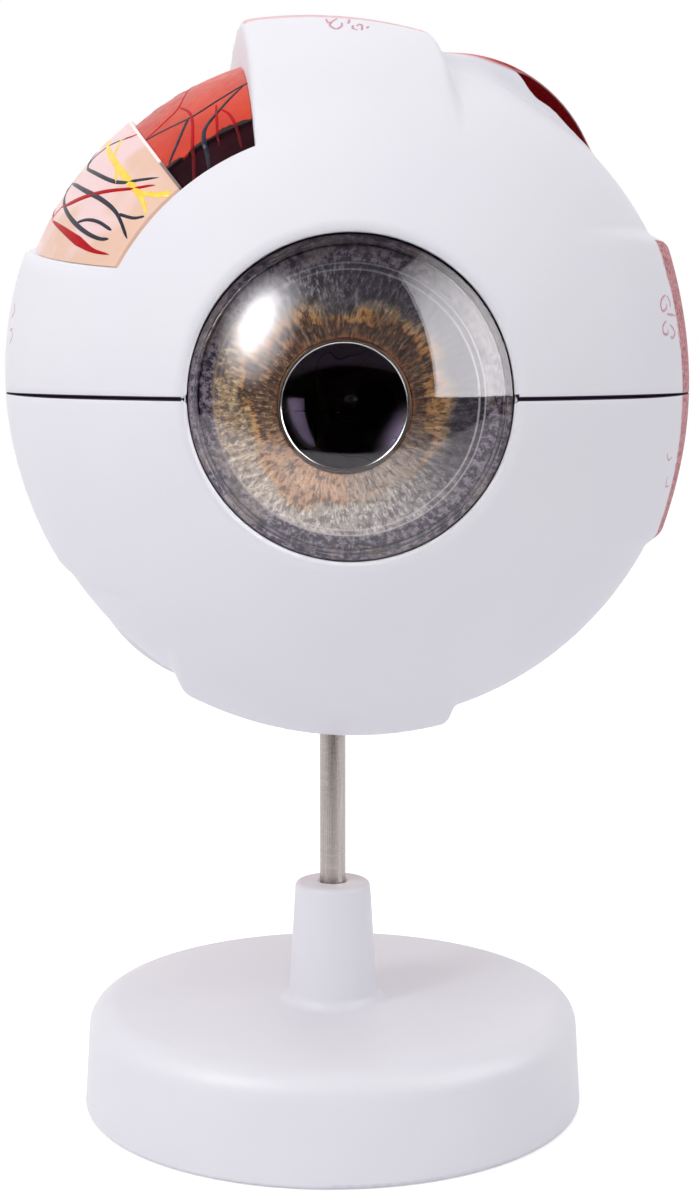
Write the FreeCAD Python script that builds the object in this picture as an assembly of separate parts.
"""Dissectible eye anatomy model, about six times life size, on a rod and a round base.

Millimetres. +Z is up and the cornea looks along -Y. The origin lies on the table, straight
below the middle of the ball. The model is a right eye: the nose is on the +X side.
"""
import FreeCAD, Part
import math
import os

V = FreeCAD.Vector

# --- stand -------------------------------------------------------------------------------
STAND_X = -4.1            # the rod stands a little to the temple side of the ball's middle
BASE_RADIUS = 58.0
BASE_HEIGHT = 24.5
BASE_DRAFT = 1.5          # how far the side leans in between the table and the top
BASE_TOP_ROUND = 6.0
BASE_FOOT_ROUND = 1.2
BASE_DISH = 1.0           # how far the top sinks from its rim to the boss
BASE_WALL = 3.0
BASE_RIB_COUNT = 6
BASE_RIB_THICKNESS = 2.4
BASE_RIB_FOOT = 5.0       # height of the ribs' lower edge above the table
BOSS_TOP_Z = 51.6
BOSS_TOP_RADIUS = 8.7
BOSS_ROOT_RADIUS = 10.4
BOSS_TOP_ROUND = 1.3
BOSS_FLARE = 2.4
BOSS_MOUTH = 0.6          # bevel round the rod hole
BOSS_TUBE_RADIUS = 7.5    # boss below the top plate, down to the rod's floor
ROD_FLOOR_Z = 6.0         # where the rod stands in the base
ROD_FLOOR_THICKNESS = 2.5

# --- rod ---------------------------------------------------------------------------------
ROD_RADIUS = 3.0
ROD_CHAMFER = 0.6
ROD_FIT = 0.05            # running clearance on the radius

# --- ball --------------------------------------------------------------------------------
BALL_Z = 165.2
BALL_RADIUS = 75.0
SCLERA_WALL = 4.0
SEAM_GAP = 0.3
TONGUE_THICKNESS = 1.3
TONGUE_HEIGHT = 2.2
SHELL_FIT = 0.3           # play between shells that come apart
GLUE_FIT = 0.1            # play between pieces that stay together
CHOROID_WALL = 1.8
RETINA_WALL = 1.6
VITREOUS_WALL = 2.0
VITREOUS_LIP = 3.0
VITREOUS_LIP_THICKNESS = 1.4

# --- front of the eye --------------------------------------------------------------------
OPENING_RADIUS = 32.3
OPENING_BEVEL = 0.9
CORNEA_RADIUS = 46.8
CORNEA_WALL = 2.0
CORNEA_SKIRT = 2.6
IRIS_FRAME_WIDTH = 2.4
IRIS_FRAME_DEPTH = 4.2
IRIS_THICKNESS = 1.2
IRIS_RECESS = 2.2         # iris face behind the frame's front face
COLLARETTE_RADIUS = 18.5
COLLARETTE_HEIGHT = 0.5
PUPIL_RADIUS = 12.7
PUPIL_X = -1.2            # the pupil sits a little towards the temple and below the middle
PUPIL_Z = -1.5
PUPIL_RING_WIDTH = 0.9
PUPIL_RING_PROUD = 0.5
LENS_RADIUS = 27.0
LENS_FRONT_CURVE = 60.0
LENS_BACK_CURVE = 36.0
LENS_RIM = 3.0
LENS_SETBACK = 0.6        # lens apex behind the iris frame's back face

# --- ciliary body ------------------------------------------------------------------------
CILIARY_PLATE = 3.0
CILIARY_DEPTH = 10.4
CILIARY_PLATE_INNER = 30.5
PROCESS_COUNT = 22        # processes on each half ring
PROCESS_WIDTH = 1.9
PROCESS_OUTER = 43.0
PROCESS_CREST = 35.5      # radius at which a process reaches its full height
ORA_LEAD = 1.2            # how far the choroid reaches forward beside the processes
RETINA_SETBACK = 4.8      # retina's front edge behind the choroid's

# --- cut-away window ---------------------------------------------------------------------
# Angles of the window are measured from the front of the eye, and clock angles from the top,
# with the temple side negative.
WINDOW_FRONT_ANGLE = 45.9
WINDOW_BACK_ANGLE = 111.1
WINDOW_DEPTH = 2.4        # how far the window's floor lies below the ball's surface
WINDOW_BITE = 0.3         # how far the window trims the muscles beside it
LAYER_SPLIT_CLOCK_ANGLE = -39.0
PIGMENT_BACK_ANGLE = 53.5
PIGMENT_THICKNESS = 0.9
CHOROID_PANEL_CLOCK_ANGLE = -30.0  # where the layer stands highest
CHOROID_PANEL_PROUD = 0.5          # how far it stands above the ball there
CHOROID_PANEL_SHIFT = 6.2          # how far its own middle lies off the ball's
NERVE_PANEL_CLOCK_ANGLE = -50.0
NERVE_PANEL_PROUD = 2.0
NERVE_PANEL_SHIFT = 6.2

# --- muscles -----------------------------------------------------------------------------
# Each muscle is a strap moulded on the ball. Across the strap, "low" and "high" are its two
# sides, and "crown" and "cut" are its heights above the ball at the low side, in the middle and
# at the high side: first where it crowns, then at its cut end. It fades in at the front.
CROWN_POLAR = 81.0        # angle from the front of the eye
FADE_DEPTH = 2.0          # how deep the strap lies buried FADE_LEAD in front of its fade
FADE_LEAD = 9.0
FADE_SHARE = 0.62         # share of the crown's height halfway up the fade
MUSCLE_EDGE = 2.4
MUSCLE_ROOT = 14.0        # how far a strap reaches down into the ball
MUSCLES = {
    "superior": dict(clock=0.0, twist=7.0, low=-25.4, high=16.8, crown=(9.9, 7.0, 5.5),
                     cut=(10.0, 8.4, 7.5), fade=50.0, end=121.0),
    "medial": dict(clock=90.0, twist=0.0, low=-33.6, high=32.4, crown=(3.2, 0.8, 2.4),
                   cut=(4.2, 3.6, 4.0), fade=50.0, end=118.0),
    "lateral": dict(clock=-90.0, twist=-7.0, low=-37.0, high=32.4, crown=(1.2, 2.0, 3.9),
                    cut=(3.8, 4.0, 4.8), fade=48.0, end=118.0),
    "inferior": dict(clock=180.0, twist=0.0, low=-22.6, high=38.4, crown=(3.5, 2.9, 3.6),
                     cut=(5.0, 5.4, 5.0), fade=56.0, end=121.0),
}
# The two oblique muscles run round the ball: each is a band turned about an axis that lies
# off the ball's middle, so that both of its ends sink into the ball. It stands "proud" where
# it is highest.
OBLIQUES = {
    "superior": dict(clock=26.0, offset=45.0, proud=3.8, front=-14.5, back=6.0, slant=12.0,
                     sweep=60.0),
    "inferior": dict(clock=212.0, offset=40.0, proud=4.0, front=12.0, back=30.0, slant=-14.0,
                     sweep=60.0),
}
OBLIQUE_EDGE = 1.6
OBLIQUE_ROOT = 4.0        # how deep a band's foot lies in the ball

# --- optic nerve -------------------------------------------------------------------------
NERVE_X = 14.0
NERVE_SHEATH_RADIUS = 11.5
NERVE_SHEATH_WALL = 2.2
NERVE_COLLAR_PROUD = 1.2  # how far the collar ends behind the ball
NERVE_SHEATH_PROUD = 3.4  # the same for the sheath, the nerve and its two vessels
NERVE_CORE_PROUD = 5.0
VESSEL_PROUD = 6.0
NERVE_COLLAR_SPREAD = 5.5  # how much wider than the sheath the collar's foot is
NERVE_COLLAR_LIP = 1.4
VESSEL_RADIUS = 1.5
VESSEL_SPACING = 6.4

# --- rod socket in the ball --------------------------------------------------------------
SOCKET_RADIUS = 7.5
SOCKET_RISE = 4.1         # how far the socket stands up inside the sclera
SOCKET_CAP = 1.8
BUSH_RADIUS = 4.6
BUSH_COVER = 1.6          # sclera left below the sleeve
SOCKET_HOLE_PLAY = 0.7

BIG = 400.0               # larger than the model, for half spaces
BALL = V(0, 0, BALL_Z)


# --- general shapes ----------------------------------------------------------------------
def arc(a, mid, b):
    """Edge through three points."""
    return Part.Arc(a, mid, b).toShape()


def line(a, b):
    return Part.LineSegment(a, b).toShape()


def rounded_wire(corners, place):
    """Closed wire through (u, v, rounding) corners; place turns (u, v) into a point in space."""
    count = len(corners)
    runs = []
    for i, (u, v, rounding) in enumerate(corners):
        here = V(u, v, 0)
        before = V(*corners[i - 1][:2], 0) - here
        after = V(*corners[(i + 1) % count][:2], 0) - here
        if rounding <= 0:
            runs.append((here, None, here))
            continue
        before.normalize()
        after.normalize()
        half = before.getAngle(after) / 2
        back = rounding / math.tan(half)
        inward = (before + after).normalize()
        middle = here + inward * (rounding / math.sin(half) - rounding)
        runs.append((here + before * back, middle, here + after * back))
    edges = []
    for i, (start, middle, end) in enumerate(runs):
        if middle is not None:
            edges.append(arc(*[place(p.x, p.y) for p in (start, middle, end)]))
        nxt = runs[(i + 1) % count][0]
        if (nxt - end).Length > 1e-6:
            edges.append(line(place(end.x, end.y), place(nxt.x, nxt.y)))
    return Part.Wire(edges)


def turned_about_stand(corners):
    """Solid turned about the stand's axis from (radius, z, rounding) corners."""
    wire = rounded_wire(corners, lambda r, z: V(STAND_X + r, 0, z))
    return Part.Face(wire).revolve(V(STAND_X, 0, 0), V(0, 0, 1), 360)


def turned_about_gaze(edges):
    """Solid turned about the line of sight from edges drawn with x as radius and y as depth."""
    return Part.Face(Part.Wire(edges)).revolve(V(0, 0, 0), V(0, 1, 0), 360)


def ring_about_gaze(corners):
    """The same from (radius, y, rounding) corners."""
    wire = rounded_wire(corners, lambda r, y: V(r, y, 0))
    return Part.Face(wire).revolve(V(0, 0, 0), V(0, 1, 0), 360)


def sphere(radius, centre=V(0, 0, 0)):
    """Sphere whose poles lie above and below and whose seam is at the back."""
    ball = Part.makeSphere(radius)
    ball.rotate(V(0, 0, 0), V(0, 0, 1), 100)
    ball.translate(centre)
    return ball


def rod_along_y(radius, start, end, x=0.0, z=0.0):
    return Part.makeCylinder(radius, end - start, V(x, start, z), V(0, 1, 0))


def slab_y(low, high):
    """Everything between two depths."""
    return Part.makeBox(BIG, high - low, BIG, V(-BIG / 2, low, -BIG / 2))


def above(z):
    return Part.makeBox(BIG, BIG, BIG, V(-BIG / 2, -BIG / 2, z))


def below(z):
    return Part.makeBox(BIG, BIG, BIG, V(-BIG / 2, -BIG / 2, z - BIG))


def clock_vector(clock):
    """Unit vector in the plane of the face; 0 is up and +90 is towards the nose."""
    angle = math.radians(clock)
    return V(math.sin(angle), 0, math.cos(angle))


def circle_through(a, b, c):
    """Centre and radius of the circle through three (u, v) points."""
    d = 2 * (a[0] * (b[1] - c[1]) + b[0] * (c[1] - a[1]) + c[0] * (a[1] - b[1]))
    sa, sb, sc = [p[0] ** 2 + p[1] ** 2 for p in (a, b, c)]
    u = (sa * (b[1] - c[1]) + sb * (c[1] - a[1]) + sc * (a[1] - b[1])) / d
    v = (sa * (c[0] - b[0]) + sb * (a[0] - c[0]) + sc * (b[0] - a[0])) / d
    return u, v, math.hypot(a[0] - u, a[1] - v)


# --- sizes that follow from the ones above -----------------------------------------------
SCLERA_INNER = BALL_RADIUS - SCLERA_WALL
CHOROID_OUTER = SCLERA_INNER - SHELL_FIT
CHOROID_INNER = CHOROID_OUTER - CHOROID_WALL
RETINA_OUTER = CHOROID_INNER - GLUE_FIT
RETINA_INNER = RETINA_OUTER - RETINA_WALL
VITREOUS_OUTER = RETINA_INNER - SHELL_FIT
OPENING_Y = -math.sqrt(BALL_RADIUS ** 2 - OPENING_RADIUS ** 2)
CORNEA_EDGE_RADIUS = OPENING_RADIUS - 2 * SHELL_FIT
CORNEA_CENTRE_Y = OPENING_Y + SHELL_FIT + math.sqrt(CORNEA_RADIUS ** 2 - CORNEA_EDGE_RADIUS ** 2)
CORNEA_BACK_Y = OPENING_Y + SHELL_FIT + CORNEA_SKIRT
FRAME_FRONT_Y = CORNEA_BACK_Y + SHELL_FIT
FRAME_BACK_Y = FRAME_FRONT_Y + IRIS_FRAME_DEPTH
FRAME_OUTER = OPENING_RADIUS - SHELL_FIT
FRAME_INNER = FRAME_OUTER - IRIS_FRAME_WIDTH
IRIS_Y = FRAME_FRONT_Y + IRIS_RECESS
CILIARY_FRONT_Y = FRAME_BACK_Y + SHELL_FIT
CILIARY_BACK_Y = CILIARY_FRONT_Y + CILIARY_DEPTH
VITREOUS_FACE_Y = CILIARY_BACK_Y + SHELL_FIT
ORA_Y = CILIARY_BACK_Y - ORA_LEAD
RETINA_EDGE_Y = ORA_Y + RETINA_SETBACK
WINDOW_FRONT_Y = -BALL_RADIUS * math.cos(math.radians(WINDOW_FRONT_ANGLE))
WINDOW_BACK_Y = -BALL_RADIUS * math.cos(math.radians(WINDOW_BACK_ANGLE))
PIGMENT_BACK_Y = -BALL_RADIUS * math.cos(math.radians(PIGMENT_BACK_ANGLE))
WINDOW_FLOOR_RADIUS = BALL_RADIUS - WINDOW_DEPTH
SOCKET_TOP = SOCKET_RISE - SCLERA_INNER
NERVE_COLLAR_END = BALL_RADIUS + NERVE_COLLAR_PROUD
LENS_APEX_Y = FRAME_BACK_Y + LENS_SETBACK
LENS_FRONT_CENTRE = LENS_APEX_Y + LENS_FRONT_CURVE
LENS_RIM_FRONT = LENS_FRONT_CENTRE - math.sqrt(LENS_FRONT_CURVE ** 2 - LENS_RADIUS ** 2)
LENS_RIM_BACK = LENS_RIM_FRONT + LENS_RIM
LENS_BACK_CENTRE = LENS_RIM_BACK - math.sqrt(LENS_BACK_CURVE ** 2 - LENS_RADIUS ** 2)


# --- stand -------------------------------------------------------------------------------
def make_stand_base():
    """Hollow moulded base with a tapered boss, ribs below and a blind hole for the rod."""
    side_top = BASE_RADIUS - BASE_DRAFT
    outer = turned_about_stand([
        (0, 0, 0),
        (BASE_RADIUS, 0, BASE_FOOT_ROUND),
        (side_top, BASE_HEIGHT, BASE_TOP_ROUND),
        (BOSS_ROOT_RADIUS, BASE_HEIGHT - BASE_DISH, BOSS_FLARE),
        (BOSS_TOP_RADIUS, BOSS_TOP_Z, BOSS_TOP_ROUND),
        (0, BOSS_TOP_Z, 0),
    ])
    ceiling = BASE_HEIGHT - BASE_DISH - BASE_WALL
    hollow = turned_about_stand([
        (BOSS_TUBE_RADIUS, -1, 0),
        (BASE_RADIUS - BASE_WALL, -1, 0),
        (side_top - BASE_WALL, ceiling, BASE_TOP_ROUND - BASE_WALL),
        (BOSS_TUBE_RADIUS, ceiling, 0),
    ])
    under_tube = Part.makeCylinder(BOSS_TUBE_RADIUS + 1, ROD_FLOOR_Z - ROD_FLOOR_THICKNESS + 1,
                                   V(STAND_X, 0, -1))
    base = outer.cut(hollow).cut(under_tube)
    ribs = []
    for i in range(BASE_RIB_COUNT):
        length = BASE_RADIUS - BASE_WALL / 2 - BOSS_TUBE_RADIUS / 2
        rib = Part.makeBox(length, BASE_RIB_THICKNESS, ceiling + 1 - BASE_RIB_FOOT,
                           V(STAND_X + BOSS_TUBE_RADIUS / 2, -BASE_RIB_THICKNESS / 2,
                             BASE_RIB_FOOT))
        rib.rotate(V(STAND_X, 0, 0), V(0, 0, 1), 360 * (i + 0.5) / BASE_RIB_COUNT)
        ribs.append(rib.common(outer))
    base = base.multiFuse(ribs)
    hole = Part.makeCylinder(ROD_RADIUS + ROD_FIT, BOSS_TOP_Z, V(STAND_X, 0, ROD_FLOOR_Z))
    mouth = Part.makeCone(ROD_RADIUS + ROD_FIT, ROD_RADIUS + ROD_FIT + 2 * BOSS_MOUTH,
                          2 * BOSS_MOUTH, V(STAND_X, 0, BOSS_TOP_Z - BOSS_MOUTH))
    return base.cut(hole).cut(mouth)


def make_support_rod():
    """Plain round steel rod, chamfered at both ends."""
    top = BALL_Z + SOCKET_TOP - SOCKET_CAP
    return turned_about_stand([
        (0, ROD_FLOOR_Z, 0),
        (ROD_RADIUS - ROD_CHAMFER, ROD_FLOOR_Z, 0),
        (ROD_RADIUS, ROD_FLOOR_Z + ROD_CHAMFER, 0),
        (ROD_RADIUS, top - ROD_CHAMFER, 0),
        (ROD_RADIUS - ROD_CHAMFER, top, 0),
        (0, top, 0),
    ])


def make_socket_bush():
    """Sleeve in the ball's socket in which the rod stands."""
    top = SOCKET_TOP - SOCKET_CAP
    bottom = bush_bottom()
    sleeve = Part.makeCylinder(BUSH_RADIUS, top - bottom, V(STAND_X, 0, bottom))
    bore = Part.makeCylinder(ROD_RADIUS + ROD_FIT, BIG, V(STAND_X, 0, -BIG / 2))
    return sleeve.cut(bore)


def bush_bottom():
    """Lower end of the sleeve, just inside the underside of the inferior muscle."""
    return -(BALL_RADIUS + MUSCLES["inferior"]["crown"][1] - BUSH_COVER)


# --- outer form of the ball --------------------------------------------------------------
def polar_point(radius, polar):
    """(y, outward) of a point at an angle from the front of the eye."""
    angle = math.radians(polar)
    return -radius * math.cos(angle), radius * math.sin(angle)


def strap_section(polar, low, high, heights):
    """Section of a strap in the plane through its cross axis, with rounded top corners."""
    outward = V(0, *polar_point(1.0, polar))
    middle = (low + high) / 2
    tops = [(s, math.sqrt(BALL_RADIUS ** 2 - s ** 2) + h)
            for s, h in zip((low, middle, high), heights)]
    arc_s, arc_r, radius = circle_through(*tops)

    def place(s, r):
        return V(s, 0, 0) + outward * r

    def on_top(s):
        return arc_r + math.sqrt(radius ** 2 - (s - arc_s) ** 2)

    def corner(s, inward):
        """Points of a corner's rounding, from the side to the top."""
        tip = V(s, on_top(s), 0)
        top = V(s + inward * MUSCLE_EDGE, on_top(s + inward * MUSCLE_EDGE), 0)
        side = V(s, tip.y - MUSCLE_EDGE, 0)
        along = (top - tip).normalize()
        half = along.getAngle(V(0, -1, 0)) / 2
        gap = MUSCLE_EDGE / math.cos(half) - MUSCLE_EDGE * math.tan(half)
        bisector = (along + V(0, -1, 0)).normalize()
        return [place(q.x, q.y) for q in (side, tip + bisector * gap, top)]

    floor = BALL_RADIUS - MUSCLE_ROOT
    low_side, low_mid, low_top = corner(low, 1)
    high_side, high_mid, high_top = corner(high, -1)
    crest = place(middle, on_top(middle))
    return Part.Wire([
        line(place(low, floor), low_side),
        arc(low_side, low_mid, low_top),
        arc(low_top, crest, high_top),
        arc(high_top, high_mid, high_side),
        line(high_side, place(high, floor)),
        line(place(high, floor), place(low, floor)),
    ])


def make_muscle(clock, twist, low, high, crown, cut, fade, end):
    """Strap lofted over the top of the ball from front to back, then swung to its clock."""
    stations = [
        (fade - FADE_LEAD, [-FADE_DEPTH] * 3),
        (fade, [0.0] * 3),
        ((fade + CROWN_POLAR) / 2, [h * FADE_SHARE for h in crown]),
        (CROWN_POLAR, crown),
        ((CROWN_POLAR + end) / 2, [(a + b) / 2 for a, b in zip(crown, cut)]),
        (end, cut),
    ]
    sections = [strap_section(polar, low, high, heights) for polar, heights in stations]
    strap = Part.makeLoft(sections, True, False)
    strap.rotate(V(0, 0, 0), V(0, 0, 1), twist)
    strap.rotate(V(0, 0, 0), V(0, 1, 0), clock)
    return strap


def make_oblique(clock, offset, proud, front, back, slant, sweep):
    """Flat band round the ball: a rounded section turned about an axis off its middle."""
    radius = BALL_RADIUS + proud - offset
    depth = proud + OBLIQUE_ROOT
    axis = V(0, 0, offset)
    start = math.radians(90 - sweep)

    def place(across, height):
        return axis + V(math.cos(start) * height, across, math.sin(start) * height)

    wire = rounded_wire([
        (front, radius - depth, 0),
        (front, radius, OBLIQUE_EDGE),
        (back, radius, OBLIQUE_EDGE),
        (back, radius - depth, 0),
    ], place)
    band = Part.Face(wire).revolve(axis, V(0, -1, 0), 2 * sweep)
    band.rotate(V(0, 0, 0), V(0, 0, 1), slant)
    band.rotate(V(0, 0, 0), V(0, 1, 0), clock)
    return band


def make_nerve_collar():
    """Raised ring of the sclera where the optic nerve leaves."""
    return Part.makeCone(NERVE_SHEATH_RADIUS + NERVE_COLLAR_SPREAD,
                         NERVE_SHEATH_RADIUS + NERVE_COLLAR_LIP, NERVE_COLLAR_END - SCLERA_INNER,
                         V(NERVE_X, SCLERA_INNER, 0), V(0, 1, 0))


def make_outer_form():
    """Ball with its muscles and the nerve collar, solid."""
    parts = [make_muscle(**size) for size in MUSCLES.values()]
    parts += [make_oblique(**size) for size in OBLIQUES.values()]
    parts.append(make_nerve_collar())
    return sphere(BALL_RADIUS).multiFuse(parts)


def make_opening_tool():
    """Round opening for the cornea, bevelled outside."""
    hole = rod_along_y(OPENING_RADIUS, -BIG / 2, -BALL_RADIUS / 2)
    mouth = Part.makeCone(OPENING_RADIUS + 3 * OPENING_BEVEL, OPENING_RADIUS,
                          3 * OPENING_BEVEL, V(0, OPENING_Y - 2 * OPENING_BEVEL, 0), V(0, 1, 0))
    return hole.fuse(mouth)


def side_plane(clock, twist, side, keep_high):
    """Half space bounded by one side wall of a muscle, for the window beside it."""
    low = side if keep_high else side - BIG
    box = Part.makeBox(BIG, BIG, BIG, V(low, -BIG / 2, 0))
    box.rotate(V(0, 0, 0), V(0, 0, 1), twist)
    box.rotate(V(0, 0, 0), V(0, 1, 0), clock)
    return box


def window_sector(play=0.0):
    """Space between the superior and the lateral muscle, shrunk by the play on each side."""
    top = MUSCLES["superior"]
    side = MUSCLES["lateral"]
    beside_top = side_plane(top["clock"], top["twist"], top["low"] + WINDOW_BITE - play, False)
    above_side = side_plane(side["clock"], side["twist"], side["high"] - WINDOW_BITE + play, True)
    depth = slab_y(WINDOW_FRONT_Y + play, WINDOW_BACK_Y - play)
    return beside_top.common(above_side).common(depth)


def clock_wedge(low, high):
    """Sector between two clock angles, seen from the front."""
    reach = 2 * BALL_RADIUS
    corners = [V(0, 0, 0), clock_vector(low) * reach, clock_vector((low + high) / 2) * reach * 1.3,
               clock_vector(high) * reach]
    wire = Part.makePolygon(corners + corners[:1])
    return Part.Face(wire).extrude(V(0, BIG, 0)).translated(V(0, -BIG / 2, 0))


# --- sclera halves -----------------------------------------------------------------------
def seam_ring(inner, outer, low, high):
    ring = Part.makeCylinder(outer, high - low, V(0, 0, low))
    return ring.cut(Part.makeCylinder(inner, high - low, V(0, 0, low)))


def make_sclera_upper(form):
    """Upper half: two and two half muscles, the window's recess and a rebate for the tongue."""
    half = form.common(above(SEAM_GAP / 2))
    half = half.cut(sphere(SCLERA_INNER)).cut(make_opening_tool())
    notch = rod_along_y(NERVE_SHEATH_RADIUS + SHELL_FIT, SCLERA_INNER / 2, BIG / 2, NERVE_X)
    rebate = seam_ring(SCLERA_INNER - 1, SCLERA_INNER + TONGUE_THICKNESS + 2 * SHELL_FIT,
                       -1, TONGUE_HEIGHT + SHELL_FIT)
    recess = window_sector().cut(sphere(WINDOW_FLOOR_RADIUS))
    return half.cut(notch).cut(rebate).cut(recess)


def make_sclera_lower(form):
    """Lower half: the register tongue, the nerve's seat and the socket for the rod."""
    half = form.common(below(-SEAM_GAP / 2))
    half = half.cut(sphere(SCLERA_INNER))
    socket = Part.makeCylinder(SOCKET_RADIUS, BALL_RADIUS + SOCKET_TOP, V(STAND_X, 0, -BALL_RADIUS))
    tongue = seam_ring(SCLERA_INNER + SHELL_FIT, SCLERA_INNER + SHELL_FIT + TONGUE_THICKNESS,
                       -TONGUE_HEIGHT, TONGUE_HEIGHT)
    half = half.multiFuse([socket, tongue])
    seat = rod_along_y(NERVE_SHEATH_RADIUS, SCLERA_INNER / 2, BIG / 2, NERVE_X)
    bore = Part.makeCylinder(BUSH_RADIUS, SOCKET_TOP - SOCKET_CAP - bush_bottom(),
                             V(STAND_X, 0, bush_bottom()))
    rod_way = Part.makeCylinder(ROD_RADIUS + ROD_FIT, BALL_RADIUS,
                                V(STAND_X, 0, SOCKET_TOP - SOCKET_CAP), V(0, 0, -1))
    return half.cut(make_opening_tool()).cut(seat).cut(bore).cut(rod_way)


# --- layers seen through the window ------------------------------------------------------
def window_layer(surface, low_clock, high_clock, low_y, high_y):
    """Inlay on the recess's floor, with its outer face on the given ball."""
    piece = surface.common(window_sector(GLUE_FIT)).cut(sphere(WINDOW_FLOOR_RADIUS + GLUE_FIT))
    return piece.common(clock_wedge(low_clock, high_clock)).common(slab_y(low_y, high_y))


def crowned_surface(clock, proud, shift):
    """Smaller sphere moved off the ball's middle, which stands proud of the ball at a clock angle."""
    return sphere(BALL_RADIUS + proud - shift, clock_vector(clock) * shift)


def make_choroid_panel():
    surface = crowned_surface(CHOROID_PANEL_CLOCK_ANGLE, CHOROID_PANEL_PROUD, CHOROID_PANEL_SHIFT)
    return window_layer(surface, LAYER_SPLIT_CLOCK_ANGLE, 0, PIGMENT_BACK_Y, WINDOW_BACK_Y)


def make_nerve_panel():
    surface = crowned_surface(NERVE_PANEL_CLOCK_ANGLE, NERVE_PANEL_PROUD, NERVE_PANEL_SHIFT)
    return window_layer(surface, -90, LAYER_SPLIT_CLOCK_ANGLE, WINDOW_FRONT_Y, WINDOW_BACK_Y)


def make_pigment_panel():
    surface = sphere(WINDOW_FLOOR_RADIUS + PIGMENT_THICKNESS)
    return window_layer(surface, LAYER_SPLIT_CLOCK_ANGLE, 0, WINDOW_FRONT_Y, PIGMENT_BACK_Y)


# --- linings -----------------------------------------------------------------------------
def half_shell(outer, inner, front_y, side):
    """Half of a hollow ball behind a depth; side is +1 for the upper and -1 for the lower."""
    half = sphere(outer).cut(sphere(inner)).common(slab_y(front_y, BALL_RADIUS))
    half = half.common(above(SEAM_GAP / 2) if side > 0 else below(-SEAM_GAP / 2))
    if side < 0:
        half = half.cut(Part.makeCylinder(SOCKET_RADIUS + SOCKET_HOLE_PLAY, BALL_RADIUS,
                                          V(STAND_X, 0, -BALL_RADIUS)))
    return half


def make_process():
    """One ciliary process: a ridge that rises from the plate, crests and ends at the lens."""
    tip = LENS_RADIUS + SHELL_FIT
    plate_y = CILIARY_FRONT_Y + CILIARY_PLATE / 2
    wire = rounded_wire([
        (tip, LENS_RIM_FRONT - 1.0, 0.4),
        (tip, LENS_RIM_BACK, 0.8),
        (PROCESS_CREST, CILIARY_BACK_Y, 2.5),
        (PROCESS_OUTER, CILIARY_BACK_Y - 1.5, 0.8),
        (PROCESS_OUTER, plate_y, 0),
        (CILIARY_PLATE_INNER, plate_y, 0),
    ], lambda r, y: V(r, y, -PROCESS_WIDTH / 2))
    return Part.Face(wire).extrude(V(0, 0, PROCESS_WIDTH))


def make_ciliary(side):
    """Half of the ciliary ring with its radial processes on the back."""
    plate = ring_about_gaze([
        (CILIARY_PLATE_INNER, CILIARY_FRONT_Y, 0.8),
        (CHOROID_OUTER, CILIARY_FRONT_Y, 0),
        (CHOROID_OUTER, CILIARY_FRONT_Y + CILIARY_PLATE, 0),
        (CILIARY_PLATE_INNER, CILIARY_FRONT_Y + CILIARY_PLATE, 0.8),
    ])
    band = sphere(CHOROID_OUTER).cut(sphere(CHOROID_INNER))
    band = band.common(slab_y(CILIARY_FRONT_Y, ORA_Y - GLUE_FIT))
    process = make_process()
    step = 180.0 / PROCESS_COUNT
    processes = []
    for i in range(PROCESS_COUNT):
        ridge = process.copy()
        ridge.rotate(V(0, 0, 0), V(0, 1, 0), -side * (i + 0.5) * step)
        processes.append(ridge)
    ring = plate.multiFuse([band] + processes).common(sphere(CHOROID_OUTER))
    return ring.common(above(SEAM_GAP / 2) if side > 0 else below(-SEAM_GAP / 2))


# --- refracting pieces -------------------------------------------------------------------
def make_vitreous():
    """Hollow clear ball with a flat face and a dish for the lens, moulded in two halves."""
    def form(radius, face_y, dish_radius):
        ball = sphere(radius).common(slab_y(face_y, BALL_RADIUS))
        return ball.cut(sphere(dish_radius, V(0, LENS_BACK_CENTRE, 0)))

    dish = LENS_BACK_CURVE + SHELL_FIT
    shell = form(VITREOUS_OUTER, VITREOUS_FACE_Y, dish).cut(
        form(VITREOUS_OUTER - VITREOUS_WALL, VITREOUS_FACE_Y + VITREOUS_WALL,
             dish + VITREOUS_WALL))
    front = shell.common(slab_y(-BALL_RADIUS, 0))
    back = shell.common(slab_y(0, BALL_RADIUS))
    inner = VITREOUS_OUTER - VITREOUS_WALL
    lip = ring_about_gaze([
        (inner - VITREOUS_LIP_THICKNESS, -VITREOUS_LIP, 0.4),
        (inner - 2 * GLUE_FIT, -VITREOUS_LIP, 0.4),
        (inner - 2 * GLUE_FIT, 0, 0),
        (inner + GLUE_FIT, 0, 0),
        (inner + GLUE_FIT, VITREOUS_LIP, 0),
        (inner - VITREOUS_LIP_THICKNESS, VITREOUS_LIP, 0.4),
    ])
    return front, back.fuse(lip.common(sphere(VITREOUS_OUTER - GLUE_FIT)))


def make_lens():
    """Biconvex lens with a narrow rim; the back is the steeper face."""
    front_mid = V(LENS_RADIUS / 2,
                  LENS_FRONT_CENTRE - math.sqrt(LENS_FRONT_CURVE ** 2 - (LENS_RADIUS / 2) ** 2), 0)
    back_mid = V(LENS_RADIUS / 2,
                 LENS_BACK_CENTRE + math.sqrt(LENS_BACK_CURVE ** 2 - (LENS_RADIUS / 2) ** 2), 0)
    front_apex = V(0, LENS_APEX_Y, 0)
    back_apex = V(0, LENS_BACK_CENTRE + LENS_BACK_CURVE, 0)
    rim_front = V(LENS_RADIUS, LENS_RIM_FRONT, 0)
    rim_back = V(LENS_RADIUS, LENS_RIM_BACK, 0)
    return turned_about_gaze([
        arc(front_apex, front_mid, rim_front),
        line(rim_front, rim_back),
        arc(rim_back, back_mid, back_apex),
        line(back_apex, front_apex),
    ])


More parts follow.
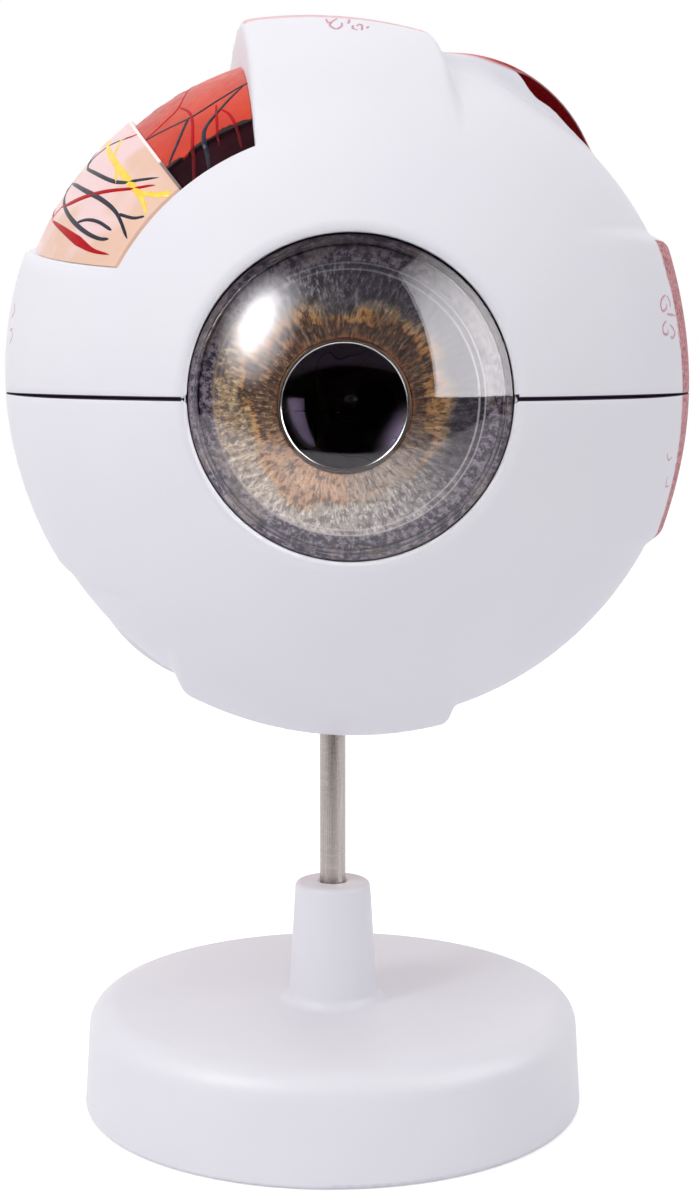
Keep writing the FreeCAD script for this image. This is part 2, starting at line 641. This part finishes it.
def make_cornea():
    """Clear dome with a short skirt that stands in the opening."""
    def on_dome(radius, r):
        return V(r, CORNEA_CENTRE_Y - math.sqrt(radius ** 2 - r ** 2), 0)

    inner_radius = CORNEA_RADIUS - CORNEA_WALL
    inner_edge = CORNEA_EDGE_RADIUS - CORNEA_WALL
    outer_rim = on_dome(CORNEA_RADIUS, CORNEA_EDGE_RADIUS)
    inner_rim = on_dome(inner_radius, inner_edge)
    outer_back = V(CORNEA_EDGE_RADIUS, CORNEA_BACK_Y, 0)
    inner_back = V(inner_edge, CORNEA_BACK_Y, 0)
    return turned_about_gaze([
        arc(on_dome(CORNEA_RADIUS, 0), on_dome(CORNEA_RADIUS, CORNEA_EDGE_RADIUS / 2), outer_rim),
        line(outer_rim, outer_back),
        line(outer_back, inner_back),
        line(inner_back, inner_rim),
        arc(inner_rim, on_dome(inner_radius, inner_edge / 2), on_dome(inner_radius, 0)),
        line(on_dome(inner_radius, 0), on_dome(CORNEA_RADIUS, 0)),
    ])


# --- iris --------------------------------------------------------------------------------
def make_iris_frame():
    """Dark ring behind the cornea that carries the iris."""
    ledge = IRIS_Y + IRIS_THICKNESS + GLUE_FIT
    return ring_about_gaze([
        (FRAME_INNER, FRAME_FRONT_Y, 0.4),
        (FRAME_OUTER, FRAME_FRONT_Y, 0.4),
        (FRAME_OUTER, FRAME_BACK_Y, 0.4),
        (FRAME_INNER - 1.2, FRAME_BACK_Y, 0),
        (FRAME_INNER - 1.2, ledge, 0),
        (FRAME_INNER, ledge, 0),
    ])


def make_iris_disc():
    """Iris disc with the raised collarette round its pupil."""
    hole_radius = PUPIL_RADIUS + PUPIL_RING_WIDTH / 2 + GLUE_FIT
    disc = rod_along_y(FRAME_INNER - GLUE_FIT, IRIS_Y, IRIS_Y + IRIS_THICKNESS)
    root = IRIS_Y + IRIS_THICKNESS / 2
    collarette = ring_about_gaze([
        (hole_radius - 1, root, 0),
        (hole_radius - 1, IRIS_Y, 0),
        (COLLARETTE_RADIUS - 2.0, IRIS_Y - COLLARETTE_HEIGHT / 2, 0),
        (COLLARETTE_RADIUS, IRIS_Y - COLLARETTE_HEIGHT, 0.8),
        (COLLARETTE_RADIUS + 1.6, IRIS_Y, 0),
        (COLLARETTE_RADIUS + 1.6, root, 0),
    ])
    hole = rod_along_y(hole_radius, -BIG / 2, BIG / 2, PUPIL_X, PUPIL_Z)
    return disc.fuse(collarette.translated(V(PUPIL_X, 0, PUPIL_Z))).cut(hole)


def make_pupil_ring():
    """Polished bead round the pupil."""
    bead = ring_about_gaze([
        (PUPIL_RADIUS - PUPIL_RING_WIDTH / 2, IRIS_Y - PUPIL_RING_PROUD, 0.3),
        (PUPIL_RADIUS + PUPIL_RING_WIDTH / 2, IRIS_Y - PUPIL_RING_PROUD, 0.3),
        (PUPIL_RADIUS + PUPIL_RING_WIDTH / 2, IRIS_Y + IRIS_THICKNESS, 0.2),
        (PUPIL_RADIUS - PUPIL_RING_WIDTH / 2, IRIS_Y + IRIS_THICKNESS, 0.2),
    ])
    return bead.translated(V(PUPIL_X, 0, PUPIL_Z))


# --- optic nerve -------------------------------------------------------------------------
def lining_way():
    """Space inside the sclera, and the way straight up by which the lower lining leaves it."""
    shaft = Part.makeCylinder(SCLERA_INNER, BALL_RADIUS)
    return sphere(SCLERA_INNER).fuse(shaft)


def nerve_rod(radius, end, x=NERVE_X):
    """Round piece of the nerve from the inner face of the sclera to its cut end."""
    return rod_along_y(radius, SCLERA_INNER / 2, end, x).cut(lining_way())


def make_nerve_pieces():
    """Sheath, nerve, and the central artery and vein that stand out of the nerve's cut."""
    core_radius = NERVE_SHEATH_RADIUS - NERVE_SHEATH_WALL
    core = nerve_rod(core_radius - GLUE_FIT, BALL_RADIUS + NERVE_CORE_PROUD)
    sheath = nerve_rod(NERVE_SHEATH_RADIUS, BALL_RADIUS + NERVE_SHEATH_PROUD).cut(
        rod_along_y(core_radius, SCLERA_INNER / 2, BIG / 2, NERVE_X))
    vessels = []
    for side in (1, -1):
        x = NERVE_X + side * VESSEL_SPACING / 2
        core = core.cut(rod_along_y(VESSEL_RADIUS + GLUE_FIT, SCLERA_INNER / 2, BIG / 2, x))
        vessels.append(nerve_rod(VESSEL_RADIUS, BALL_RADIUS + VESSEL_PROUD, x))
    return sheath, core, vessels[0], vessels[1]


# --- the set -----------------------------------------------------------------------------
def build():
    """All the sub-parts by name, in the model's frame."""
    form = make_outer_form()
    vitreous_front, vitreous_back = make_vitreous()
    sheath, nerve, artery, vein = make_nerve_pieces()
    in_ball = {
        "sclera_upper": make_sclera_upper(form),
        "sclera_lower": make_sclera_lower(form),
        "socket_bush": make_socket_bush(),
        "choroid_panel": make_choroid_panel(),
        "nerve_layer_panel": make_nerve_panel(),
        "pigment_panel": make_pigment_panel(),
        "choroid_upper": half_shell(CHOROID_OUTER, CHOROID_INNER, ORA_Y, 1),
        "choroid_lower": half_shell(CHOROID_OUTER, CHOROID_INNER, ORA_Y, -1),
        "retina_upper": half_shell(RETINA_OUTER, RETINA_INNER, RETINA_EDGE_Y, 1),
        "retina_lower": half_shell(RETINA_OUTER, RETINA_INNER, RETINA_EDGE_Y, -1),
        "ciliary_upper": make_ciliary(1),
        "ciliary_lower": make_ciliary(-1),
        "vitreous_front": vitreous_front,
        "vitreous_back": vitreous_back,
        "lens": make_lens(),
        "iris_frame": make_iris_frame(),
        "iris_disc": make_iris_disc(),
        "pupil_ring": make_pupil_ring(),
        "cornea": make_cornea(),
        "optic_nerve_sheath": sheath,
        "optic_nerve": nerve,
        "central_retinal_artery": artery,
        "central_retinal_vein": vein,
    }
    parts = {name: shape.translated(BALL) for name, shape in in_ball.items()}
    parts["stand_base"] = make_stand_base()
    parts["support_rod"] = make_support_rod()
    return parts


os.makedirs("parts", exist_ok=True)
for name, shape in build().items():
    if shape.ShapeType == "Compound" and len(shape.Solids) == 1:
        shape = shape.Solids[0]
    box = shape.BoundBox
    print("%-24s solids %d valid %s volume %9.0f  x %.1f %.1f  y %.1f %.1f  z %.1f %.1f" % (
        name, len(shape.Solids), shape.isValid(), shape.Volume,
        box.XMin, box.XMax, box.YMin, box.YMax, box.ZMin, box.ZMax))
    shape.exportStep("parts/%s.step" % name)
